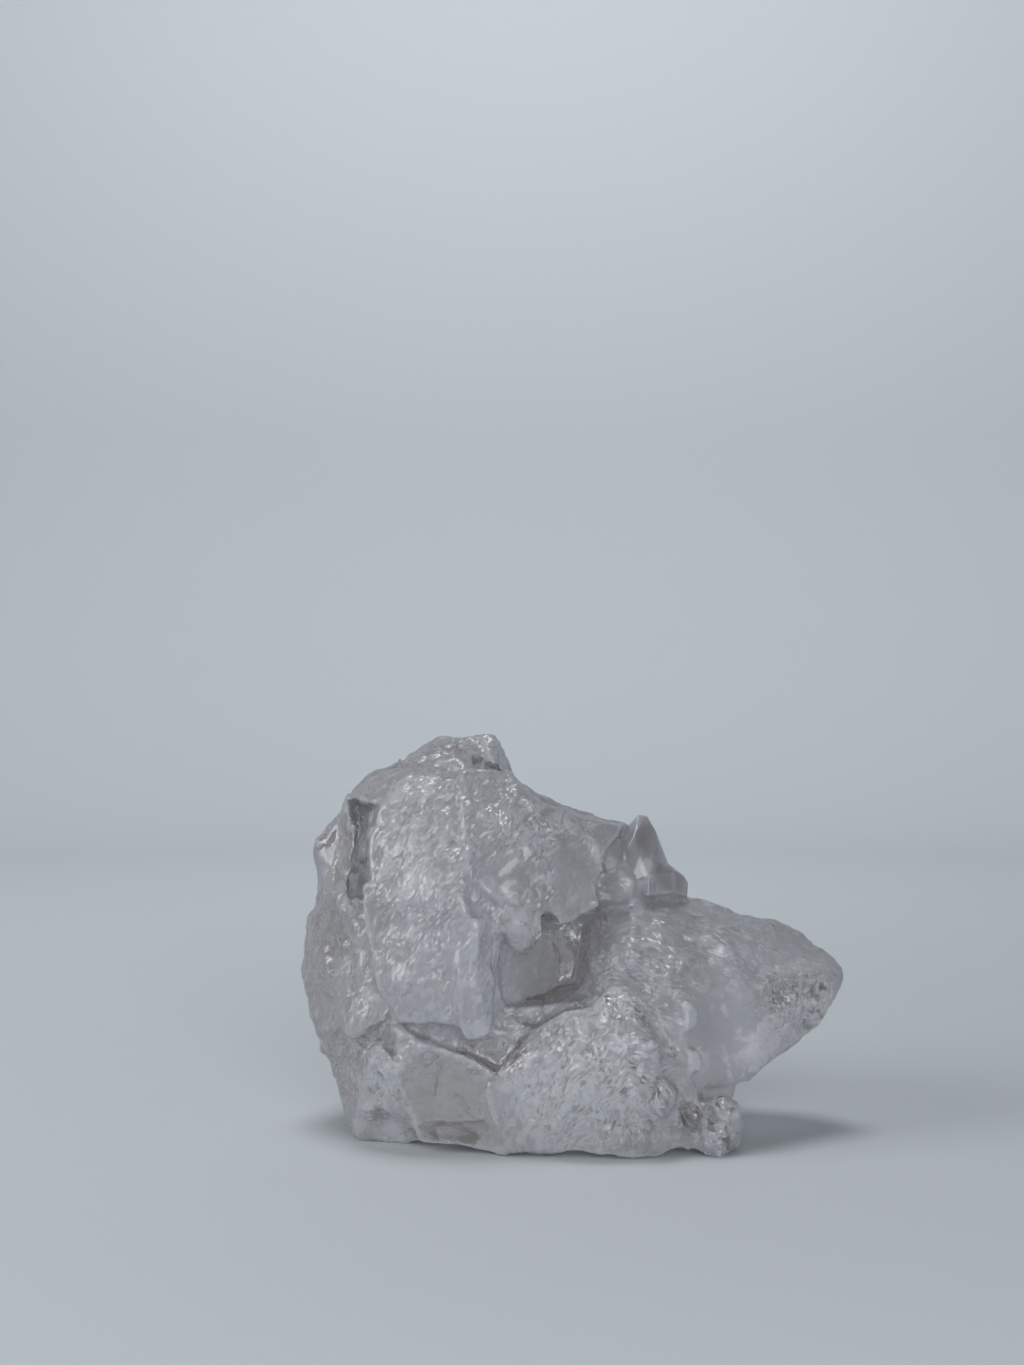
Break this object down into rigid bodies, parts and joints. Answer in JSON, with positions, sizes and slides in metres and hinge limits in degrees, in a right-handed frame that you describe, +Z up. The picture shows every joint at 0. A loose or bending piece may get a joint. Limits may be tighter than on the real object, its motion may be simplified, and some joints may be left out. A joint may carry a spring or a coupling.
{
  "type": "rough clear quartz",
  "caption": "Rough chunk of clear to milky quartz with broken faces, a jutting horn and small pointed crystals, resting on a flat base.",
  "frame": {"origin": "middle of the bounding box at the height of the floor the stone rests on", "axes": "+Z up, +X along the greatest length towards the tip of the horn, -Y towards the viewer of the broad front face"},
  "size_m": [0.0704, 0.0452, 0.0504],
  "materials": {
    "quartz": "clear to milky quartz, broken surface, glassy lustre"
  },
  "bodies": {
    "root": {"quartz": "quartz"}
  },
  "joints": []
}
